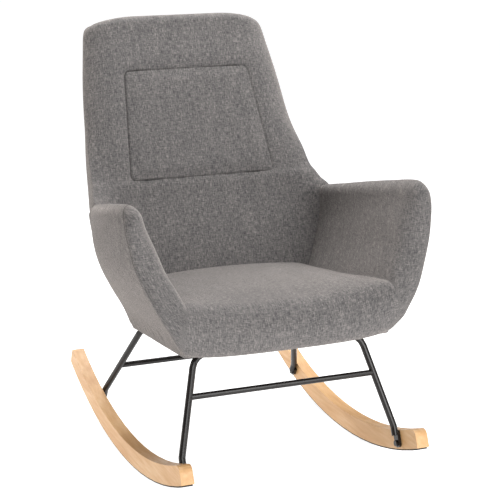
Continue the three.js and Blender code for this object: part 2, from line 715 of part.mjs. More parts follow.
function makeArms() {
  // the wall narrows by its pinch where it rounds over to the front
  const front = [[0, 5], [0.02, 1]];
  const rest = [0.06, 0.15, 0.28, 0.42, 0.56, 0.7, 0.85, 1].map((along) => [along, 0]);
  const form = loft([...front, ...rest].map(([along, pinch]) => armLoop(along, pinch)));

  // The plywood panel inside: a slab drawn in the (y, z) plane, then leaned outwards. A grown copy of it,
  // open at the hem, is the pocket that it sits in.
  const panelSlab = (grow, foot) => {
    const outline = new THREE.Shape();
    outline.moveTo(-205 - grow, foot);
    outline.lineTo(-200 - grow, 175);
    outline.quadraticCurveTo(-190 - grow, 262 + grow, -130, 262 + grow);
    outline.lineTo(70 + grow, 185 + grow);
    outline.lineTo(60 + grow, foot);
    const slab = slabAlongX(outline.getPoints(4), -grow, PANEL_THICKNESS + grow);
    return slab.rotateY(PANEL_LEAN).translate(SIDE_RAIL_X + 3, 0, SEAT_FRONT.z);
  };
  addPair('arm_panel', panelSlab(0, 0), frameWood);
  addPair('arm_pad', cut(form, panelSlab(1, -40)), upholstery);
}

// ---------------------------------------------------------------- seat cushion
function seatLoop(y, top, bottom, half, shoulder) {
  const right = [
    [half * 0.5, bottom + 1], [half - 5, bottom + 7], [half, bottom + 16], [half + 3, top - shoulder],
    [half - 4, top - shoulder * 0.45], [half - 24, top - shoulder * 0.15], [half - 80, top + 2],
    [half - 150, top + 7],
  ];
  const place = ([x, z]) => new THREE.Vector3(x, y(z), z);
  const left = right.map(([x, z]) => [-x, z]);
  return [place([0, top + 9]), ...left.reverse().map(place), place([0, bottom - 1]), ...right.map(place)];
}

function makeSeatCushion() {
  const crown = profile([
    [-262, 352], [-256, 395], [-238, 420], [-205, 434], [-140, 440], [-40, 433], [80, 418], [210, 400],
  ]);
  const lower = (y) => SEAT_FRONT.z - 9 - Math.tan(SEAT_TILT) * (y - SEAT_FRONT.y);
  const rows = [-258, -250, -238, -215, -180, -120, -40, 60, 130];
  const loops = rows.map((y) => {
    const nose = Math.max(0, (-238 - y) / 20);
    const half = 226 - 30 * nose * nose;
    return seatLoop(() => y, crown(y), lower(y) + 14 * nose, half, 22);
  });
  const rearTop = 400;
  loops.push(seatLoop((z) => backFrontY(z) - 3, rearTop, lower(150), 225, 22));
  const frameSpace = seatBlock([-240, -1, -60], [240, 700, RAIL_HEIGHT + 1]);
  const springSpace = seatBlock([-195, RAIL_THICKNESS - 20, 0], [195, 700, RAIL_HEIGHT + 22]);
  add('seat_cushion', cut(loft(loops), frameSpace, springSpace), upholstery);
}

// ---------------------------------------------------------------- assembly
makeRockers();
makeLegFrame('front_leg_frame', FRONT_LEG);
makeLegFrame('rear_leg_frame', REAR_LEG);
makeStretcher('front_stretcher', FRONT_LEG, FRONT_STRETCHER_HEIGHT);
makeStretcher('rear_stretcher', REAR_LEG, REAR_STRETCHER_HEIGHT);
makeRockerFasteners('front', FRONT_LEG);
makeRockerFasteners('rear', REAR_LEG);
makeFrameFasteners('front', FRONT_LEG);
makeFrameFasteners('rear', REAR_LEG);
makeSeatFrame();
makeSprings();
makeBack();
makeArms();
makeSeatCushion();

// The origin is on the floor, under the middle of the whole chair
const extent = new THREE.Box3().setFromObject(chair);
const middle = extent.getCenter(new THREE.Vector3());
chair.position.set(-middle.x, -middle.y, -extent.min.z);

export default chair;
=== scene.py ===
"""Looks for an upholstered rocking chair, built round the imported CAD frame.

Shapes are worked out in millimetres on the chair's own drawing axes: x across, y towards the back, z up
from the floor, with x = 0 in the middle. place() turns them into metres in the frame.
"""

import math

import bmesh
import bpy
import numpy as np
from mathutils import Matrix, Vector


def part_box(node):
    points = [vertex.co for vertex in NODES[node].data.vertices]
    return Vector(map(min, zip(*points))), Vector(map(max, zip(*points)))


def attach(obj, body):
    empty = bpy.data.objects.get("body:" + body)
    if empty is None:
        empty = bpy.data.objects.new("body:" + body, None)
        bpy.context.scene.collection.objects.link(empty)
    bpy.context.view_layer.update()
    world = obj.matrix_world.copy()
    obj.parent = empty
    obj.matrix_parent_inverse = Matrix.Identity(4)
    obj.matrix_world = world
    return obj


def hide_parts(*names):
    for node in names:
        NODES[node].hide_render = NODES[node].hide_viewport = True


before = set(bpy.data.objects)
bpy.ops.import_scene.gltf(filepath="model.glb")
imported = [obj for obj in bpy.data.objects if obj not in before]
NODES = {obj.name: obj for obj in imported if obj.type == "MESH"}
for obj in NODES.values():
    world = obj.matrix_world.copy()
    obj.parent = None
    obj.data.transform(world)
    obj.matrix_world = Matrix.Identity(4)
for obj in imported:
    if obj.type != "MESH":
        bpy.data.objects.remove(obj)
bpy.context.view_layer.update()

# ---------------------------------------------------------------- the drawing's axes in the frame
SEAT_TILT = math.atan(0.107)            # the seat frame's underside falls towards the back
SEAT_FRONT_Y = -224.0                   # the seat frame's lower front edge
SEAT_FRONT_Z = 335.5
RAIL_HEIGHT = 45.0
_rail_low, _rail_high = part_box("seat_side_rail_right")
ORIGIN = np.array([
    0.0,
    _rail_low.y * 1000 - SEAT_FRONT_Y,
    _rail_high.z * 1000 - SEAT_FRONT_Z - RAIL_HEIGHT * math.cos(SEAT_TILT),
])


def place(points):
    """Drawing millimetres to metres in the frame."""
    return (np.asarray(points, float) + ORIGIN) / 1000


# ---------------------------------------------------------------- curves and surfaces
def curve(*pairs):
    """A smooth function through (position, value) pairs, level beyond its ends."""
    at, value = np.array(pairs, float).T
    slope = np.gradient(value, at)

    def f(x):
        x = np.clip(np.asarray(x, float), at[0], at[-1])
        i = np.clip(np.searchsorted(at, x, side="right") - 1, 0, len(at) - 2)
        h = at[i + 1] - at[i]
        t = (x - at[i]) / h
        return (
            (1 + 2 * t) * (1 - t) ** 2 * value[i]
            + t * (1 - t) ** 2 * h * slope[i]
            + t**2 * (3 - 2 * t) * value[i + 1]
            + t**2 * (t - 1) * h * slope[i + 1]
        )

    return f


def smoothstep(low, high, x):
    t = np.clip((np.asarray(x, float) - low) / (high - low), 0, 1)
    return t * t * (3 - 2 * t)


def bezier(a, b, c, d, t):
    """A cubic Bezier curve. The points' last axis is space, and t is laid along a new first axis."""
    t = np.asarray(t, float)[:, None, None]
    s = 1 - t
    return s**3 * a[None] + 3 * s**2 * t * b[None] + 3 * s * t**2 * c[None] + t**3 * d[None]


def eased(count, start=1.0, end=1.0):
    """count values from 0 to 1, closer together at an end whose number is above 1."""
    t = np.linspace(0, 1, count)
    low, high = t**start, 1 - (1 - t) ** end
    return low * (1 - t) + high * t


def points(x, y, z):
    return np.stack(np.broadcast_arrays(x, y, z), axis=-1).astype(float)


WAVE_TRAINS = 7                         # how many sine waves a ripple is made of
WAVE_PEAK = 4                           # about where their sum peaks


def waves(along, across, scale, seed):
    """A smooth random ripple between about -1 and 1, the same every time."""
    rng = np.random.default_rng(seed)
    total = np.zeros(np.broadcast(along, across).shape)
    for _ in range(WAVE_TRAINS):
        angle = rng.uniform(-0.9, 0.9)
        length = scale * rng.uniform(0.6, 1.7)
        phase = rng.uniform(0, 2 * math.pi)
        distance = across * math.cos(angle) + along * math.sin(angle)
        total = total + np.sin(2 * math.pi * distance / length + phase)
    return total / WAVE_PEAK


NO_SEAM = 100.0                         # a distance to the nearest seam far enough that no painted seam shade darkens the cloth
WELD_DISTANCE = 0.00002                 # metres


class Skin:
    """Gathers grids of points into one mesh. Each grid also gives its place on the cloth, in millimetres."""

    def __init__(self):
        self.points, self.cloth, self.faces, self.count = [], [], [], 0

    def grid(self, where, across, along, flip=False, seam=NO_SEAM):
        rows, columns = where.shape[:2]
        index = np.arange(rows * columns).reshape(rows, columns) + self.count
        a, b, c, d = index[:-1, :-1], index[:-1, 1:], index[1:, 1:], index[1:, :-1]
        quads = np.stack([a, d, c, b] if flip else [a, b, c, d], axis=-1).reshape(-1, 4)
        self.points.append(where.reshape(-1, 3))
        # seam: the distance to the nearest seam in mm, which sets where the fabric paints its shade line
        thread = points(across, along, seam)
        self.cloth.append(np.broadcast_to(thread, where.shape).reshape(-1, 3))
        self.faces.append(quads)
        self.count += rows * columns

    def build(self, name):
        where, cloth = np.concatenate(self.points), np.concatenate(self.cloth)
        mesh = bpy.data.meshes.new(name)
        mesh.from_pydata(place(where).tolist(), [], np.concatenate(self.faces).tolist())
        attribute = mesh.attributes.new("cloth", "FLOAT_VECTOR", "POINT")
        attribute.data.foreach_set("vector", (cloth / 1000).astype(np.float32).ravel())
        piece = bpy.data.objects.new(name, mesh)
        bpy.context.scene.collection.objects.link(piece)
        edit_mesh(mesh, weld)
        return piece


def edit_mesh(mesh, change):
    """Runs change on the mesh, which it is given as a bmesh."""
    shape = bmesh.new()
    shape.from_mesh(mesh)
    change(shape)
    shape.to_mesh(mesh)
    shape.free()


def weld(shape):
    """Joins points that lie together, where grids meet."""
    bmesh.ops.remove_doubles(shape, verts=shape.verts, dist=WELD_DISTANCE)
    bmesh.ops.dissolve_degenerate(shape, edges=shape.edges, dist=WELD_DISTANCE / 10)


def turn_outwards(shape):
    bmesh.ops.recalc_face_normals(shape, faces=shape.faces)


def close_holes(shape):
    """Fills a piece's open ends and turns its faces outwards."""
    edges = [edge for edge in shape.edges if edge.is_boundary]
    filled = bmesh.ops.holes_fill(shape, edges=edges, sides=0)
    bmesh.ops.triangulate(shape, faces=filled["faces"])
    turn_outwards(shape)


def settle(piece):
    """Applies a piece's modifiers."""
    shown = piece.evaluated_get(bpy.context.evaluated_depsgraph_get())
    mesh = bpy.data.meshes.new_from_object(shown)
    piece.modifiers.clear()
    piece.data = mesh
    mesh.name = piece.name


def modify(piece, kind, **settings):
    modifier = piece.modifiers.new(kind.lower(), kind)
    for key, value in settings.items():
        setattr(modifier, key, value)
    return modifier


def shade_smooth(piece, angle=None):
    for face in piece.data.polygons:
        face.use_smooth = True
    if angle is not None:
        piece.data.set_sharp_from_angle(angle=math.radians(angle))


# ---------------------------------------------------------------- materials
def new_material(name):
    material = bpy.data.materials.new(name)
    material.use_nodes = True
    tree = material.node_tree
    shader = tree.nodes["Principled BSDF"]
    return material, tree, shader


def node(tree, kind, inputs=None, **settings):
    made = tree.nodes.new(kind)
    for key, value in settings.items():
        setattr(made, key, value)
    for key, value in (inputs or {}).items():
        if isinstance(value, bpy.types.NodeSocket):
            tree.links.new(value, made.inputs[key])
        else:
            made.inputs[key].default_value = value
    return made


def maths(tree, operation, *values):
    return node(tree, "ShaderNodeMath", dict(enumerate(values)), operation=operation).outputs[0]


def ramp(tree, factor, *stops):
    made = node(tree, "ShaderNodeValToRGB", {0: factor})
    elements = made.color_ramp.elements
    while len(elements) < len(stops):
        elements.new(0.5)
    for element, (position, colour) in zip(elements, stops):
        element.position = position
        element.color = (*colour, 1) if hasattr(colour, "__len__") else (colour, colour, colour, 1)
    return made.outputs[0]


def noise(tree, vector, scale, detail=2.0, roughness=0.5):
    return node(
        tree, "ShaderNodeTexNoise",
        {"Vector": vector, "Scale": scale, "Detail": detail, "Roughness": roughness},
    ).outputs[0]


def mapped(tree, vector, scale):
    return node(tree, "ShaderNodeMapping", {0: vector, "Scale": scale}).outputs[0]


def object_position(tree):
    return node(tree, "ShaderNodeTexCoord").outputs["Object"]


def add_bump(tree, shader, height, strength, distance):
    bump = node(tree, "ShaderNodeBump", {"Height": height, "Strength": strength, "Distance": distance})
    tree.links.new(bump.outputs[0], shader.inputs["Normal"])


WEAVE_REPEAT = 0.0018                   # metres: one thread over and one under
SEAM_WIDTH = 0.003                      # metres: how far the painted shade line along a seam reaches


def upholstery_fabric():
    """A heathered flat weave of slubby threads, each its own grey, with painted shade lines along its seams.

    The mesh's "cloth" attribute gives the place on the cloth, across and along, and the distance to a seam.
    """
    material, tree, shader = new_material("heather_fabric")
    cloth = node(tree, "ShaderNodeAttribute", attribute_name="cloth").outputs["Vector"]
    parts = node(tree, "ShaderNodeSeparateXYZ", {0: cloth})
    across, along, seam = parts.outputs
    flat = node(tree, "ShaderNodeCombineXYZ", {0: across, 1: along, 2: 0.0}).outputs[0]
    warp = maths(tree, "SINE", maths(tree, "MULTIPLY", across, 2 * math.pi / WEAVE_REPEAT))
    weft = maths(tree, "SINE", maths(tree, "MULTIPLY", along, 2 * math.pi / WEAVE_REPEAT))
    weave = maths(tree, "MULTIPLY", warp, weft)

    upright = noise(tree, mapped(tree, flat, (420, 85, 1)), 1.0)
    level = noise(tree, mapped(tree, flat, (105, 420, 1)), 1.0)
    flecks = noise(tree, flat, 430.0, 1.0)
    slubs = noise(tree, mapped(tree, flat, (95, 13, 1)), 1.0)
    streaks = noise(tree, mapped(tree, flat, (42, 170, 1)), 1.0)
    patches = noise(tree, mapped(tree, flat, (1, 0.6, 1)), 22.0)

    mixed = maths(tree, "MULTIPLY", upright, 0.36)
    other_parts = (
        (level, 0.26), (flecks, 0.12), (slubs, 0.10), (streaks, 0.10), (patches, 0.06), (weave, 0.012),
    )
    for part, share in other_parts:
        mixed = maths(tree, "ADD", mixed, maths(tree, "MULTIPLY", part, share))
    colour = ramp(
        tree, mixed,
        (0.39, (0.064, 0.062, 0.064)),
        (0.47, (0.118, 0.113, 0.112)),
        (0.54, (0.168, 0.157, 0.153)),
        (0.635, (0.280, 0.258, 0.246)),
    )
    # painted shade: the colour is halved right at a seam and recovers within about 2.5 mm, standing in for
    # the shadow in the seam's groove
    near_seam = maths(tree, "ABSOLUTE", seam)
    painted_seam_shade = ramp(tree, maths(tree, "DIVIDE", near_seam, SEAM_WIDTH), (0.15, 0.50), (0.85, 1.0))
    shaded = node(tree, "ShaderNodeMix", {0: 1.0}, data_type="RGBA", blend_type="MULTIPLY")
    tree.links.new(colour, shaded.inputs[6])
    tree.links.new(painted_seam_shade, shaded.inputs[7])
    tree.links.new(shaded.outputs[2], shader.inputs["Base Color"])
    shader.inputs["Roughness"].default_value = 0.95
    shader.inputs["Specular IOR Level"].default_value = 0.12
    shader.inputs["Sheen Weight"].default_value = 0.34
    shader.inputs["Sheen Roughness"].default_value = 0.42
    shader.inputs["Sheen Tint"].default_value = (1.0, 0.90, 0.83, 1)
    height = maths(tree, "ADD", maths(tree, "MULTIPLY", weave, 0.35), maths(tree, "MULTIPLY", mixed, 1.8))
    add_bump(tree, shader, height, 0.5, 0.0006)
    return material


def rocker_wood():
    """Oiled light hardwood, its grain along the rocker's length."""
    material, tree, shader = new_material("light_hardwood")
    position = object_position(tree)
    stretched = mapped(tree, position, (1.0, 0.10, 1.0))
    bend = noise(tree, mapped(tree, position, (1, 0.35, 1)), 9.0, 3.0)
    shift = node(tree, "ShaderNodeCombineXYZ", {
        0: maths(tree, "MULTIPLY", bend, 0.012),
        1: 0.0,
        2: maths(tree, "MULTIPLY", bend, 0.020),
    }).outputs[0]
    bent = node(tree, "ShaderNodeVectorMath", {0: stretched, 1: shift}, operation="ADD").outputs[0]
    rings = noise(tree, bent, 95.0, 5.0, 0.62)
    pores = noise(tree, mapped(tree, position, (1, 0.05, 1)), 900.0, 2.0, 0.6)
    broad = noise(tree, mapped(tree, position, (1, 0.3, 1)), 14.0)
    mixed = maths(tree, "ADD", maths(tree, "MULTIPLY", rings, 0.55), maths(tree, "MULTIPLY", broad, 0.45))
    base = ramp(
        tree, mixed,
        (0.34, (0.585, 0.315, 0.128)),
        (0.47, (0.645, 0.368, 0.156)),
        (0.56, (0.695, 0.420, 0.196)),
        (0.68, (0.755, 0.500, 0.264)),
    )
    in_pore = maths(tree, "MULTIPLY", ramp(tree, pores, (0.30, 1.0), (0.42, 0.0)), 0.22)
    dark = node(tree, "ShaderNodeMix", {0: in_pore}, data_type="RGBA")
    tree.links.new(base, dark.inputs[6])
    dark.inputs[7].default_value = (0.40, 0.22, 0.10, 1)
    tree.links.new(dark.outputs[2], shader.inputs["Base Color"])
    tree.links.new(ramp(tree, rings, (0.3, 0.50), (0.7, 0.38)), shader.inputs["Roughness"])
    add_bump(tree, shader, maths(tree, "ADD", pores, rings), 0.12, 0.0004)
    return material


def plain_wood(name, light, dark):
    """Unfinished frame timber."""
    material, tree, shader = new_material(name)
    position = object_position(tree)
    grain = noise(tree, mapped(tree, position, (0.12, 1, 1)), 120.0, 4.0, 0.6)
    tree.links.new(ramp(tree, grain, (0.35, dark), (0.65, light)), shader.inputs["Base Color"])
    shader.inputs["Roughness"].default_value = 0.72
    add_bump(tree, shader, grain, 0.2, 0.0005)
    return material


def powder_coat():
    """Satin black powder coat on steel, with its fine orange peel."""
    material, tree, shader = new_material("black_powder_coat")
    position = object_position(tree)
    peel = noise(tree, position, 420.0)
    worn = noise(tree, position, 24.0, 3.0)
    # a near-black base: its slight warm brown tint is a painted reflection of the wooden rockers, and its
    # variation with the worn noise is random wear
    tree.links.new(ramp(tree, worn, (0.35, (0.006, 0.0045, 0.004)), (0.7, (0.012, 0.009, 0.008))),
                   shader.inputs["Base Color"])
    tree.links.new(ramp(tree, worn, (0.3, 0.22), (0.7, 0.32)), shader.inputs["Roughness"])
    add_bump(tree, shader, peel, 0.10, 0.0003)
    shader.inputs["Specular IOR Level"].default_value = 0.42
    return material


def zinc_plate():
    """Bright zinc plate on springs and threaded inserts."""
    material, tree, shader = new_material("zinc_plate")
    position = object_position(tree)
    spangle = noise(tree, position, 300.0, 3.0, 0.6)
    tree.links.new(ramp(tree, spangle, (0.3, (0.42, 0.43, 0.44)), (0.7, (0.62, 0.63, 0.64))),
                   shader.inputs["Base Color"])
    tree.links.new(ramp(tree, spangle, (0.3, 0.28), (0.7, 0.42)), shader.inputs["Roughness"])
    shader.inputs["Metallic"].default_value = 1.0
    return material


def sole_rubber():
    """Dull black rubber, a little dusty."""
    material, tree, shader = new_material("sole_rubber")
    position = object_position(tree)
    dust = noise(tree, position, 160.0, 4.0, 0.6)
    tree.links.new(ramp(tree, dust, (0.4, (0.010, 0.010, 0.010)), (0.75, (0.028, 0.027, 0.026))),
                   shader.inputs["Base Color"])
    shader.inputs["Roughness"].default_value = 0.78
    add_bump(tree, shader, dust, 0.3, 0.0004)
    return material


def clip_plastic():
    """Fine-grained black plastic."""
    material, tree, shader = new_material("clip_plastic")
    position = object_position(tree)
    grain = noise(tree, position, 600.0)
    tree.links.new(ramp(tree, grain, (0.3, (0.014, 0.014, 0.014)), (0.7, (0.024, 0.024, 0.024))),
                   shader.inputs["Base Color"])
    shader.inputs["Roughness"].default_value = 0.5
    add_bump(tree, shader, grain, 0.2, 0.0003)
    return material


def lining_cloth():
    """Thin black non-woven cloth with its pressed dimples."""
    material, tree, shader = new_material("lining_cloth")
    position = object_position(tree)
    fibres = noise(tree, position, 700.0, 4.0, 0.7)
    dimples = node(tree, "ShaderNodeTexVoronoi", {"Vector": position, "Scale": 420.0}).outputs[0]
    tree.links.new(ramp(tree, fibres, (0.35, (0.008, 0.008, 0.009)), (0.7, (0.032, 0.032, 0.034))),
                   shader.inputs["Base Color"])
    shader.inputs["Roughness"].default_value = 0.95
    add_bump(tree, shader, maths(tree, "ADD", fibres, dimples), 0.4, 0.0004)
    return material


FABRIC = upholstery_fabric()
ROCKER_WOOD = rocker_wood()
FRAME_WOOD = plain_wood("frame_timber", (0.62, 0.45, 0.27), (0.48, 0.32, 0.17))
BLACK_STEEL = powder_coat()
ZINC = zinc_plate()
RUBBER = sole_rubber()
PLASTIC = clip_plastic()
LINING = lining_cloth()


def dress(piece, material):
    piece.data.materials.clear()
    piece.data.materials.append(material)


# ---------------------------------------------------------------- back: its axes and outline
RECLINE = math.atan(0.485)
BACK_FOOT_Y, BACK_FOOT_Z = 199.0, 400.0     # the front plane's foot at the seat
BACK_THICKNESS = 84.0
BACK_TOP_S = 677.0
BACK_LOW_S = -112.0                     # where the front plane meets the hem
BACK_ROWS, BACK_COLUMNS = 150, 60
TOP_ROLL_FRONT, TOP_ROLL_REAR, TOP_ROLL_SIDE = 24, 18, 34   # radii where the top edge rounds over
SHOULDER_START = 75                     # the front face begins to round off this far in from the side
REAR_CORNER = 24                        # the rear face ends this far in from the side
LOW_SLANT, LOW_SLANT_REACH = 0.36, 110  # the lower end slants up towards the rear
TOP_BOW = 8                             # the top edge falls this much towards its corners


def on_back(x, s, n):
    """A point given across (x), up along (s) and through (n) the back."""
    y = BACK_FOOT_Y + s * math.sin(RECLINE) + n * math.cos(RECLINE)
    z = BACK_FOOT_Z + s * math.cos(RECLINE) - n * math.sin(RECLINE)
    return points(x, y, z)


def back_front_y(z):
    return BACK_FOOT_Y + (z - BACK_FOOT_Z) * math.tan(RECLINE)


back_half = curve(
    (-150, 224), (-98, 230), (-36, 247), (22, 268), (66, 282), (117, 290), (180, 293), (243, 289),
    (320, 283), (400, 273), (460, 267), (520, 260), (601, 248), (640, 242), (675, 236),
)
# The back's side flares forward to meet the arm. Against s: how far through the back its edge lies, how far
# out it is pushed, and how much of the shape is flare (1) or plain rounding (0)
flare_n = curve(
    (-110, 2), (60, -2), (100, -10), (125, -22), (150, -42), (172, -61), (188, -52), (205, -34),
    (230, -19), (250, -5), (277, 4), (307, 13), (340, 26), (370, 37), (410, 46), (440, 50),
)
flare_x = curve((100, 0), (140, 10), (172, 16), (190, 14), (205, 10), (230, 5), (250, 2), (300, 1), (400, 0))
flare = curve((170, 1), (226, 1), (290, 0.55), (360, 0.15), (440, 0))

# The stitched rectangle on the back's front
PANEL_BOTTOM_S, PANEL_TOP_S = 245.0, 528.0
PANEL_CORNER = 14.0
PANEL_HALF = 190                        # half its width at the bottom
PANEL_NARROWING = 26                    # how much less that is at the top


def panel_half(s):
    return PANEL_HALF - PANEL_NARROWING * (s - PANEL_BOTTOM_S) / (PANEL_TOP_S - PANEL_BOTTOM_S)


def from_panel_seam(x, s):
    """Distance to the rectangle's stitched outline, negative inside it."""
    s = s + 1.4 * np.sin(x / 17) * np.sin(x / 41 + s)       # the seam wanders a little
    out_x = np.abs(x) - panel_half(s) + PANEL_CORNER
    out_s = np.maximum(PANEL_BOTTOM_S - s, s - PANEL_TOP_S) + PANEL_CORNER
    outside = np.hypot(np.maximum(out_x, 0), np.maximum(out_s, 0))
    return outside + np.minimum(np.maximum(out_x, out_s), 0) - PANEL_CORNER


def top_roll(s, radius):
    """How far an edge has rolled inwards near the top, in mm."""
    past = np.clip((s - (BACK_TOP_S - radius)) / radius, 0, 1)
    return radius * (1 - np.sqrt(1 - past**2))


def front_relief(x, s):
    """How far the back's front face stands proud of its plane: its stitched rectangle and soft puckers."""
    seam = from_panel_seam(x, s)
    inside = np.clip(-seam, 0, None)
    dent = 2.8 * np.exp(-(seam / 3.0) ** 2)
    pillow = 4.0 * smoothstep(0, 30, inside) - 1.5 * smoothstep(20, 130, inside)
    # a soft swelling round the rectangle, but not below it
    border = 2.5 * smoothstep(0, 22, seam) * (1 - smoothstep(30, 90, seam))
    border = border * smoothstep(PANEL_BOTTOM_S - 60, PANEL_BOTTOM_S + 10, s)
    # gathers over the lower seam, long soft folds, gathers under it, and tugs at the upper seam
    above = np.clip(s - PANEL_BOTTOM_S, 0, None)
    puckers = waves(s, x, 34, 4) * np.exp(-above / 55) * 1.9 * smoothstep(0, 12, inside)
    folds = waves(s * 0.35, x, 62, 31) * 1.1 * smoothstep(0, 40, inside) * (1 - smoothstep(90, 240, above))
    below = waves(s, x, 46, 9) * np.exp(-np.clip(PANEL_BOTTOM_S - s, 0, None) / 30) * 0.8
    below = below * (s < PANEL_BOTTOM_S) * (1 - smoothstep(0, 30, np.abs(x) - panel_half(s)))
    tugs = waves(s, x, 26, 12) * np.exp(-np.clip(PANEL_TOP_S - s, 0, None) / 20)
    tugs = tugs * 0.6 * smoothstep(0, 6, inside)
    # creases run outwards and down from the rectangle's lower corners, where the back turns to the arms
    across = np.abs(x) - 196
    drop = PANEL_BOTTOM_S - 2 - s
    crease = 1.6 * np.exp(-((drop - 0.75 * across) / 6) ** 2)
    crease = crease * smoothstep(-8, 8, across) * (1 - smoothstep(30, 62, across))
    return pillow + border + puckers + folds + below + tugs - dent - crease


def dense_near(low, high, count, centres, spread=9.0, strength=3.0):
    """count values from low to high, drawn closer together near some centres."""
    fine = np.linspace(low, high, 4000)
    weight = np.ones_like(fine)
    for centre in centres:
        weight += strength * np.exp(-((fine - centre) / spread) ** 2)
    total = np.concatenate([[0], np.cumsum((weight[1:] + weight[:-1]) / 2)])
    return np.interp(np.linspace(0, total[-1], count), total, fine)


def distance_along(grid):
    """Each point's distance from its row's start."""
    steps = np.linalg.norm(np.diff(grid, axis=1, prepend=grid[:, :1]), axis=-1)
    return np.cumsum(steps, axis=1)


def make_back():
    """The padded back: a flat face with a stitched rectangle, round sides that flare into the arms."""
    s = dense_near(BACK_LOW_S, BACK_TOP_S, BACK_ROWS, [PANEL_BOTTOM_S, PANEL_TOP_S, BACK_TOP_S], 12, 3.5)
    roll = top_roll(s, TOP_ROLL_FRONT)
    half = back_half(s) - top_roll(s, TOP_ROLL_REAR)
    lean = flare(s)
    edge_x = back_half(s) - top_roll(s, TOP_ROLL_SIDE) + flare_x(s)
    edge_n = flare_n(s)
    start_x = edge_x - SHOULDER_START - 25 * lean
    rear = BACK_THICKNESS - roll * 0.7

    seam_at = np.minimum(panel_half(s) / start_x, 1)
    share = np.array([dense_near(0, 1, BACK_COLUMNS, [at], 0.05, 3.0) for at in seam_at])
    front_x = share * start_x[:, None]
    rows = np.broadcast_to(s[:, None], front_x.shape)
    front = points(front_x, rows, roll[:, None] - front_relief(front_x, rows))

    def corner(x, n):
        return points(x, s, n)

    def bend(a, b, c, d, steps):
        return bezier(a, b, c, d, np.linspace(0, 1, steps)).transpose(1, 0, 2)

    relief_end = front[:, -1]
    round_n = edge_n * 0.45 + roll * 0.55
    edge = corner(edge_x, edge_n)
    shoulder = bend(
        relief_end,
        relief_end + points(41 * (1 - lean) + 55 * lean, 0, 0),
        corner(edge_x - 16 * lean, round_n * (1 - lean) + (edge_n + 1) * lean),
        edge, 16,
    )
    flank = corner(half - 5, np.minimum(68, rear - 6))
    side = bend(
        edge,
        corner(edge_x + 5 * lean, edge_n + 5 + 4 * lean),
        corner(half, 56 - 4 * lean),
        flank, 12,
    )
    heel_end = corner(half - REAR_CORNER, rear)
    heel = bend(flank, corner(half - 8, rear - 5), corner(half - 13, rear), heel_end, 7)
    behind_x = np.linspace(1, 0, 24)[None] * (half - REAR_CORNER)[:, None]
    behind = points(behind_x, s[:, None], rear[:, None])
    loop = np.concatenate([front[:, :-1], shoulder[:, :-1], side[:, :-1], heel[:, :-1], behind], axis=1)

    seam = np.full(loop.shape[:2], NO_SEAM)
    seam[:, :BACK_COLUMNS] = from_panel_seam(front_x, rows)
    run = distance_along(loop)
    at_s, out = loop[..., 1].copy(), np.abs(loop[..., 0])
    loop[..., 1] += LOW_SLANT * loop[..., 2] * np.clip(1 - (at_s - BACK_LOW_S) / LOW_SLANT_REACH, 0, 1)
    loop[..., 1] -= TOP_BOW * smoothstep(110, 236, out) * smoothstep(430, BACK_TOP_S, at_s)
    skin = Skin()
    for sign in (1, -1):
        # the painted shade line along the rectangle's upright seam is made weaker at +x
        seam_shade_weakening = 1.5 * smoothstep(0.8, 0.95, loop[..., 0] / panel_half(loop[..., 1])) * (sign > 0)
        where = on_back(loop[..., 0] * sign, loop[..., 1], loop[..., 2])
        skin.grid(where, sign * run, loop[..., 1], seam=np.abs(seam) + seam_shade_weakening)
    piece = skin.build("back_cushion_cover")
    edit_mesh(piece.data, close_holes)
    shade_smooth(piece, 50)
    dress(piece, FABRIC)
    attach(piece, "root")
    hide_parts("back_cushion")


COVER_TOP_S, COVER_LOW_S = BACK_TOP_S - 26, -86.0
COVER_INSET = 22.0                      # its edge is this far in from the back's outline
COVER_HALF = 262.0                      # half its greatest width
COVER_CORNER = 26.0
COVER_CLOTH = 0.0016                    # metres


def make_rear_cover():
    """The flat cloth panel sewn over the rear of the back, from its top edge down to the hem."""
    s = np.linspace(COVER_LOW_S, COVER_TOP_S, 70)
    across = np.linspace(-1, 1, 61)
    near_top = np.clip((s - (COVER_TOP_S - COVER_CORNER)) / COVER_CORNER, 0, 1)
    half = np.minimum(back_half(s) - COVER_INSET, COVER_HALF)
    half = half - COVER_CORNER * (1 - np.sqrt(1 - near_top**2)) * 0.9
    x = across[None] * half[:, None]
    rows = np.broadcast_to(s[:, None], x.shape)
    edge = np.minimum.reduce([half[:, None] - np.abs(x), rows - COVER_LOW_S, COVER_TOP_S - rows])
    lift = 3.2 * smoothstep(-1, 9, edge) + 0.5 * waves(rows, x, 90, 21) * np.exp(-edge / 30)
    skin = Skin()
    # seam=edge: painted shade darkens the cloth along the cover's stitched edge
    skin.grid(on_back(x, rows, BACK_THICKNESS - 0.6 + lift), x, rows, seam=edge)
    piece = skin.build("back_cover_panel")
    modify(piece, "SOLIDIFY", thickness=COVER_CLOTH, offset=0.0)
    settle(piece)
    shade_smooth(piece, 50)
    dress(piece, FABRIC)
    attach(piece, "root")
    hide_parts("back_cover")


# ---------------------------------------------------------------- seat and arms: one upholstered skin
# "height" runs from 0 at an arm's hem to 1 at its crest, "along" from 0 at its front seam to 1 at the back
arm_front_x = curve(
    (0, 250), (0.06, 261), (0.12, 271), (0.21, 289), (0.37, 320),
    (0.55, 348), (0.74, 363), (0.86, 368), (1, 366),
)
arm_front_y = curve(
    (0, -232), (0.06, -235), (0.21, -237), (0.37, -233), (0.55, -223),
    (0.74, -209), (0.86, -198), (0.94, -185), (1, -164),
)
arm_rear_x = curve(
    (0, 241), (0.17, 257), (0.32, 279), (0.46, 295), (0.58, 302), (0.75, 304), (0.86, 301), (1, 295),
)
arm_bulge = curve((0, 2), (0.1, 4), (0.32, 15), (0.6, 25), (1, 24))
arm_inner_front_x = curve(
    (0, 228), (0.2, 236), (0.32, 243), (0.42, 258), (0.55, 279), (0.72, 298), (0.85, 316), (1, 330),
)
arm_inner_rear_x = curve(
    (0, 222), (0.3, 236), (0.44, 256), (0.55, 269), (0.62, 276), (0.75, 286), (0.86, 284), (1, 276),
)
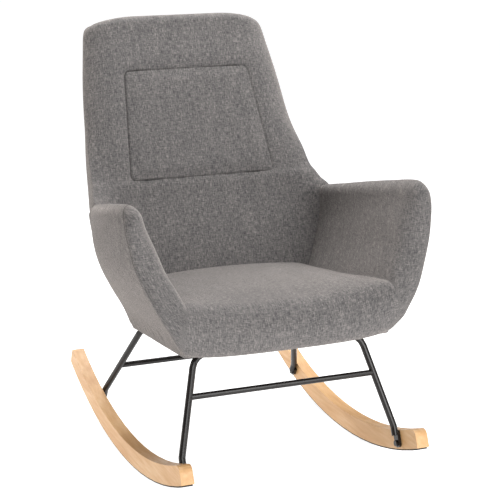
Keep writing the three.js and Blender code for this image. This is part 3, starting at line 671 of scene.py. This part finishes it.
# the crest's height, and the hem's height over the seat frame's slant, both against y
arm_crest = curve(
    (-240, 675), (-185, 674), (-145, 670), (-60, 653), (60, 627), (150, 606), (225, 589), (320, 560),
)
arm_hem_lift = curve((-230, 5), (-150, 9), (-75, 8), (0, 5), (60, 2), (120, -2), (170, -4))
# how far behind the seam an arm's inner face begins to round over to its front band
nose_start = curve((0.3, 0.01), (0.4, 0.02), (0.6, 0.06), (0.85, 0.06), (1, 0))
ARM_ROLL_START = 0.905                  # the height where an arm's faces begin to round over its crest
ARM_SQUARENESS = 2.3                    # the crest's section: 2 is an ellipse, more is squarer
ARM_BURIED = 8.0                        # how far the arms run into the back
ARM_FLAP = 66.0                         # how far the outer cloth runs on over the back's side
RAIL_COVER_X = 227.0                    # the cloth passes the seat frame's side rails out here


def hem_height(y):
    return SEAT_FRONT_Z - math.tan(SEAT_TILT) * (y - SEAT_FRONT_Y)


def arm_hem_height(y):
    return hem_height(y) + arm_hem_lift(y)


def arm_place(height, along):
    """(y, z) at a height and a place along the arm, both on the arm's slanting front and rear edges."""
    height, along = np.broadcast_arrays(np.asarray(height, float), np.asarray(along, float))
    y = arm_front_y(height) * (1 - along) + BACK_FOOT_Y * along
    z = np.zeros_like(y)
    for _ in range(8):                  # y and z depend on each other, and settle in a few turns
        z = arm_hem_height(y) * (1 - height) + arm_crest(y) * height
        y = arm_front_y(height) * (1 - along) + (back_front_y(z) + ARM_BURIED) * along
    return y, z


def crest_narrowing(height):
    """The share of an arm's width left at a height: 1 up to where it rounds over, 0 at its crest."""
    rise = np.clip((np.asarray(height, float) - ARM_ROLL_START) / (1 - ARM_ROLL_START), 0, 1)
    return (1 - rise**ARM_SQUARENESS) ** (1 / ARM_SQUARENESS)


def arm_wall(height, along, side):
    """A point on an arm's inner (side -1) or outer (side 1) face."""
    height, along = np.broadcast_arrays(np.asarray(height, float), np.asarray(along, float))
    outer = arm_front_x(height) * (1 - along) + arm_rear_x(height) * along
    outer = outer + arm_bulge(height) * 4 * along * (1 - along)
    inner = arm_inner_front_x(height) * (1 - along) + arm_inner_rear_x(height) * along
    half = (outer - inner) / 2 * crest_narrowing(height)
    y, z = arm_place(height, along)
    return points((inner + outer) / 2 + side * half, y, z)


def arm_inner(height, share):
    """The inner face, share 0 at its front end, which meets the seam at the crest, and 1 at the back."""
    start = nose_start(height)
    return arm_wall(height, start + (1 - start) * share, -1)


def arm_outer(heights):
    """An arm's outer face, from its front seam to the back and on over the back's side."""
    along = np.concatenate([0.07 * eased(18, 1.3, 1), np.linspace(0.07, 1, 44)[1:]])
    face = arm_wall(heights[None, :], along[:, None], 1)
    # puckers over the hem, then behind the front seam
    near_hem = np.exp(-((heights - 0.03) / 0.07) ** 2) * smoothstep(0, 0.012, heights)
    puckers = 2.2 * near_hem[None, :] * waves(face[..., 2], face[..., 1], 46, 5)
    face[..., 0] += puckers * smoothstep(0, 0.08, along)[:, None]
    near_seam = np.exp(-((along - 0.03) / 0.03) ** 2) * smoothstep(0, 0.012, along)
    face[..., 0] += 1.2 * near_seam[:, None] * waves(face[..., 1], face[..., 2], 52, 8)
    last = face[-1]
    s = (last[:, 1] - BACK_FOOT_Y) * math.sin(RECLINE) + (last[:, 2] - BACK_FOOT_Z) * math.cos(RECLINE)
    side_x = np.minimum(np.maximum(back_half(s), RAIL_COVER_X) + 1.5, last[:, 0])
    beyond = []
    for share in np.linspace(0, 1, 9)[1:]:
        n = ARM_FLAP * share
        moved = last + points(0, n * math.cos(RECLINE), -n * math.sin(RECLINE))
        moved[:, 0] = last[:, 0] + (side_x - last[:, 0]) * smoothstep(0, 0.7, share)
        moved[:, 0] -= ARM_BURIED * smoothstep(0.8, 1, share)
        moved[:, 2] = np.maximum(moved[:, 2], hem_height(moved[:, 1]) - 3)
        beyond.append(moved)
    return np.concatenate([face, np.array(beyond)])


def roll_heights(low, straight, round_steps):
    """Heights from low to the crest, even in angle where the arm rounds over."""
    wall = np.linspace(low, ARM_ROLL_START, straight)
    angle = np.linspace(0, math.pi / 2, round_steps)[1:]
    return np.concatenate([wall, ARM_ROLL_START + (1 - ARM_ROLL_START) * np.sin(angle)])


fold_height = curve((0, 0.352), (0.1, 0.340), (0.25, 0.326), (0.5, 0.317), (0.75, 0.325), (1, 0.332))
FOLD_DEPTH = 9.0                        # the seat's edge rounds down this far into its fold with the arm
seat_crown_z = curve((-262, 428), (-205, 435), (-140, 441), (-40, 437), (80, 425), (215, 409))
CROWN_FRONT_Y = -200.0                  # the seat's crowned face ends here, and rounds down before it
SEAT_COLUMNS = 34
FOLD = SEAT_COLUMNS - 1                 # the column that runs along the fold between seat and arm
INNER_ROWS = 44
WALL_ROWS, ROLL_ROWS = 24, 12
BAND_STEPS = 26
seat_share = 1 - (1 - np.linspace(0, 1, SEAT_COLUMNS)) ** 1.35   # from the middle out to the fold
TUB_CLOTH = 0.007                       # metres: the cloth with its thin foam backing


def seat_row(fold, share):
    """The seat from its middle line out to its fold with the arm, share 0 at the front and 1 at the back."""
    rear_y = back_front_y(398) + 6      # a little inside the back
    y_middle = CROWN_FRONT_Y + share * (rear_y - CROWN_FRONT_Y)
    x = seat_share * fold[0]
    y = y_middle + (fold[1] - y_middle) * seat_share**3
    level = seat_crown_z(y_middle)
    climb = seat_share ** (2.8 - 0.6 * share)
    beside_fold = np.sin(np.pi * np.clip((seat_share - 0.8) / 0.2, 0, 1))
    tuck = 4 * beside_fold * (1 - share) * smoothstep(0, 0.2, share)
    rounding = FOLD_DEPTH * (seat_share**14 - seat_share**2.8)
    return points(x, y, level + (fold[2] - level) * climb - tuck - rounding)


def make_inner():
    """Seat and inner faces, as rows from the back to where they turn down or round the front."""
    rows = []
    for share in np.linspace(1, 0, INNER_ROWS):
        wall = arm_inner(roll_heights(float(fold_height(share)), WALL_ROWS, ROLL_ROWS), share)
        rows.append(np.concatenate([seat_row(wall[0], share)[:-1], wall]))
    return np.array(rows)


HEM_FRONT_Y, HEM_FRONT_Z = -235.0, 326.0    # the hem at the middle of the seat's front
HEM_BOW = 3.0                           # it bows this much further forward on its way to the corners
HEM_TURN = 34.0                         # how far the hem is folded in under the seat frame
HEM_DROP = 1.6                          # its distance below the frame's underside


def make_band(inner):
    """The cloth round the front, from the seat's and inner faces' edge to the hem and outer seams."""
    edge = inner[-1]
    forward = inner[-1] - inner[-3]
    forward /= np.linalg.norm(forward, axis=-1, keepdims=True)
    level = smoothstep(0.55, 0.9, np.linspace(0, 1, len(forward) - FOLD))   # the crest leaves level
    forward[FOLD:] += (points(0, -1, 0) - forward[FOLD:]) * level[:, None]
    heights = roll_heights(float(fold_height(0)), WALL_ROWS, ROLL_ROWS)
    climb = (heights - heights[0]) / (1 - heights[0])         # 0 at the fold's corner, 1 at the crest
    seam = arm_wall(climb, 0.0, 1)
    corner = seam[0]
    hem = points(
        seat_share * corner[0],
        HEM_FRONT_Y - HEM_BOW * seat_share**2 + (corner[1] - HEM_FRONT_Y + HEM_BOW) * seat_share**8,
        HEM_FRONT_Z + (corner[2] - HEM_FRONT_Z) * (0.75 * seat_share**3 + 0.25 * seat_share**10),
    )
    rim = np.concatenate([hem[:-1], seam])
    climb = np.concatenate([np.zeros(FOLD), climb])[:, None]
    arm = smoothstep(0.0, 0.08, climb)
    nose = crest_narrowing(climb)
    # how the cloth leaves its upper edge, and how it comes in to the seat's hem and to an arm's seam
    leave = forward * (62 * (1 - arm) + 52 * arm * nose)
    outwards = np.minimum(rim[:, :1] / corner[0], 1) ** 6
    below_seat = points(0, -36, 24)[None] + points(20, -6, 0)[None] * outwards
    upper = smoothstep(0.2, 0.6, climb)
    round_seam = (points(34, -44, 0)[None] * (1 - upper) + points(-1, -21, 0)[None] * upper) * nose
    arrive = below_seat * (1 - arm) + round_seam * arm
    steps = eased(BAND_STEPS, 1.0, 1.25)
    band = bezier(edge, edge + leave, rim + arrive, rim, steps)
    # the fold between seat and arm runs on down the front and fades out
    from_fold = distance_along(band)
    from_fold = from_fold - from_fold[:, FOLD:FOLD + 1]
    fading = (1 - smoothstep(0.03, 0.3, steps))[:, None] * smoothstep(0, 0.08, steps)[:, None]
    band[..., 1] += 7 * np.exp(-(from_fold / 11) ** 2) * fading
    return band


def turned_under(front, side):
    """The hem folded in under the seat frame, as rows from its edge inwards, along the front and an arm."""
    corner = front[-1]
    edge = np.concatenate([front, side[1:]])
    target_x = np.concatenate([front[:, 0] * (1 - HEM_TURN / corner[0]), side[1:, 0] - HEM_TURN])
    target_y = np.concatenate([front[:, 1] + HEM_TURN, np.maximum(side[1:, 1], corner[1] + HEM_TURN)])
    rows = [edge]
    for share in (0.04, 0.12, 0.3, 0.6, 1.0):
        x = edge[:, 0] + (target_x - edge[:, 0]) * share
        y = edge[:, 1] + (target_y - edge[:, 1]) * share
        rows.append(points(x, y, np.minimum(edge[:, 2], hem_height(y) - HEM_DROP)))
    return np.array(rows)


def make_tub():
    """Seat and arms: one front cloth runs down an arm, across the seat's front and up the other arm."""
    inner = make_inner()
    whole = np.concatenate([inner, make_band(inner)[1:]])
    outer = arm_outer(roll_heights(0, 30, ROLL_ROWS))
    across, down = distance_along(whole), distance_along(whole.transpose(1, 0, 2)).T
    to_edge = down[-1:] - down
    outer_run = distance_along(outer.transpose(1, 0, 2)).T
    hem = turned_under(whole[-1, :SEAT_COLUMNS], outer[:, 0])
    on_arm, on_seat = slice(FOLD, None), slice(0, FOLD + 1)
    skin = Skin()
    for sign in (1, -1):
        turn = np.array([sign, 1, 1])
        flip = sign < 0
        arm, seat = whole[:, on_arm], whole[:, on_seat]
        # the last argument, a distance to the hem and the arms' front seams, sets where the fabric paints
        # its shade line along them
        skin.grid(arm * turn, sign * down[:, on_arm], arm[..., 2], flip, to_edge[:, on_arm])
        skin.grid(seat * turn, sign * across[:, on_seat], down[:, on_seat], flip, to_edge[:, on_seat])
        skin.grid(outer * turn, sign * outer_run, outer[..., 2], flip, outer_run)
        skin.grid(hem * turn, hem[..., 0], hem[..., 1], flip)
    piece = skin.build("seat_and_arms_cover")
    edit_mesh(piece.data, turn_outwards)
    modify(piece, "SOLIDIFY", thickness=TUB_CLOTH, offset=-1.0)
    modify(piece, "SUBSURF", levels=1, render_levels=1)
    settle(piece)
    shade_smooth(piece, 60)
    dress(piece, FABRIC)
    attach(piece, "root")
    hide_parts("seat_cushion", "arm_pad_left", "arm_pad_right")


make_back()
make_rear_cover()
make_tub()

# ---------------------------------------------------------------- carried-over CAD nodes
for name, cad in NODES.items():
    if cad.hide_render:
        continue
    if name.startswith("rocker_sole"):
        dress(cad, RUBBER)
    elif name in ("rocker_left", "rocker_right"):
        dress(cad, ROCKER_WOOD)
    elif "insert" in name or name.startswith("seat_spring"):
        dress(cad, ZINC)
    elif "leg_frame" in name or "stretcher" in name or "bolt" in name:
        dress(cad, BLACK_STEEL)
    elif name.startswith("spring_clip"):
        dress(cad, PLASTIC)
    elif name == "dust_cover" or name.startswith("back_webbing"):
        dress(cad, LINING)
    else:
        dress(cad, FRAME_WOOD)


# ---------------------------------------------------------------- room, lights and camera
def make_floor():
    bpy.ops.mesh.primitive_plane_add(size=30, location=(0, 6, -0.0005))
    floor = bpy.context.object
    floor.name = "floor"
    material, tree, shader = new_material("pale_floor")
    shader.inputs["Base Color"].default_value = (0.5, 0.5, 0.5, 1)
    shader.inputs["Roughness"].default_value = 0.9
    shader.inputs["Emission Color"].default_value = (1, 1, 1, 1)
    shader.inputs["Emission Strength"].default_value = 0.90
    dress(floor, material)


def area_light(name, where, towards, size, power, colour=(1, 1, 1)):
    data = bpy.data.lights.new(name, "AREA")
    data.shape = "SQUARE"
    data.size = size
    data.energy = power
    data.color = colour
    light = bpy.data.objects.new(name, data)
    light.location = where
    light.rotation_euler = (Vector(towards) - Vector(where)).to_track_quat("-Z", "Y").to_euler()
    bpy.context.scene.collection.objects.link(light)


def make_room():
    make_floor()
    world = bpy.data.worlds.new("studio")
    world.use_nodes = True
    world.node_tree.nodes["Background"].inputs[0].default_value = (1, 1, 1, 1)
    world.node_tree.nodes["Background"].inputs[1].default_value = 0.25
    bpy.context.scene.world = world
    area_light("overhead", (0.6, 0.9, 2.8), (0, 0, 0.4), 2.0, 112)
    area_light("front", (0.6, -3.4, 1.1), (0, 0, 0.4), 2.4, 103)
    area_light("rear_left", (-2.3, 1.5, 1.7), (-0.2, 0, 0.5), 1.2, 38, (1.0, 0.94, 0.89))
    view = bpy.context.scene.view_settings
    view.view_transform = "Standard"
    view.look = "None"


def make_camera():
    """The viewing angle: from the front and a little to the left, slightly above the seat."""
    azimuth, elevation, distance = math.radians(-22.124), math.radians(14.525), 3657.4
    target = Vector(place((0.03, -0.02, 500.28)))
    forward = Vector((
        -math.sin(azimuth) * math.cos(elevation),
        math.cos(azimuth) * math.cos(elevation),
        -math.sin(elevation),
    ))
    data = bpy.data.cameras.new("camera")
    data.sensor_width = 36.0
    data.lens = 112.22
    camera = bpy.data.objects.new("camera", data)
    camera.location = target - forward * (distance / 1000)
    camera.rotation_euler = forward.to_track_quat("-Z", "Y").to_euler()
    bpy.context.scene.collection.objects.link(camera)
    bpy.context.scene.camera = camera


make_room()
make_camera()

bpy.context.view_layer.update()
